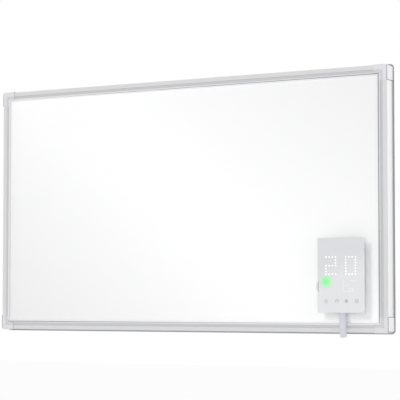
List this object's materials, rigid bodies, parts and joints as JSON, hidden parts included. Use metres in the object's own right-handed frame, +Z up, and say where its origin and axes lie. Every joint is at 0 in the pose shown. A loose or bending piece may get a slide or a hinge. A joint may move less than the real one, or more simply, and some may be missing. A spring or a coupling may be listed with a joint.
{
  "type": "infrared panel heater",
  "caption": "Flat wall-hung infrared heating panel in a light metal frame, with a small touch control unit mounted in front of its lower right corner.",
  "frame": {"origin": "middle of the four wall screws, on the wall's face", "axes": "+Z up, +X to the right as seen from the room, +Y from the room into the wall"},
  "size_m": [0.905, 0.0632, 0.5113],
  "materials": {
    "anodised_rail": "satin anodised extrusion",
    "corner_plastic": "smooth moulded",
    "front_enamel": "smooth gloss white coating on a heating panel",
    "gasket_rubber": "dull",
    "carbon_film": "printed carbon film",
    "copper": "copper strip",
    "insulation": "pressed insulation board",
    "galvanised": "galvanised with faint spangle",
    "zinc_steel": "zinc plated",
    "black_plastic": "fine moulded texture",
    "unit_gloss": "smooth moulded gloss",
    "unit_matt": "fine moulded texture",
    "board_green": "solder mask",
    "light_guide": "translucent green light guide",
    "silicone": "soft translucent pad",
    "lead_jacket": "smooth moulded jacket",
    "wire_jacket": "insulated cores"
  },
  "bodies": {
    "heater": {"back_tray": "galvanised", "bus_bars": "copper", "circuit_board": "board_green", "corner_bottom_left": "corner_plastic", "corner_bottom_right": "corner_plastic", "corner_top_left": "corner_plastic", "corner_top_right": "corner_plastic", "display_module": "black_plastic", "feed_wires": "wire_jacket", "front_sheet": "front_enamel", "hanger_bottom_left": "zinc_steel", "hanger_bottom_right": "zinc_steel", "hanger_rivets": "zinc_steel", "hanger_top_left": "zinc_steel", "hanger_top_right": "zinc_steel", "heating_film": "carbon_film", "insulation_board": "insulation", "junction_box": "black_plastic", "junction_lid": "black_plastic", "junction_screws": "zinc_steel", "key_spring": "zinc_steel", "key_switch": "black_plastic", "lead_connector": "black_plastic", "lead_gland": "black_plastic", "link_lead": "lead_jacket", "mains_gland": "black_plastic", "mount_pads": "silicone", "mount_plate": "unit_matt", "overheat_cutout": "black_plastic", "rail_bottom": "anodised_rail", "rail_left": "anodised_rail", "rail_right": "anodised_rail", "rail_top": "anodised_rail", "relay": "black_plastic", "room_sensor": "wire_jacket", "sheet_gasket": "gasket_rubber", "status_light_guide": "light_guide", "strain_relief": "lead_jacket", "terminal_block": "black_plastic", "touch_springs": "zinc_steel", "tray_screws": "zinc_steel", "unit_back_cover": "unit_matt", "unit_face": "unit_gloss", "unit_housing": "unit_matt", "unit_screws": "zinc_steel", "unit_wires": "wire_jacket", "wall_bracket_bottom_left": "zinc_steel", "wall_bracket_bottom_right": "zinc_steel", "wall_bracket_top_left": "zinc_steel", "wall_bracket_top_right": "zinc_steel", "wire_grommet": "gasket_rubber"},
    "power_key": {"power_key": "unit_matt"}
  },
  "joints": [
    {"name": "power_key_press", "type": "slide", "parent": "heater", "child": "power_key", "axis": [1, 0, 0], "range_m": [0, 0.0015], "stiffness_N_per_m": 400, "springref_m": -0.001, "deforming": ["key_spring"]}
  ]
}
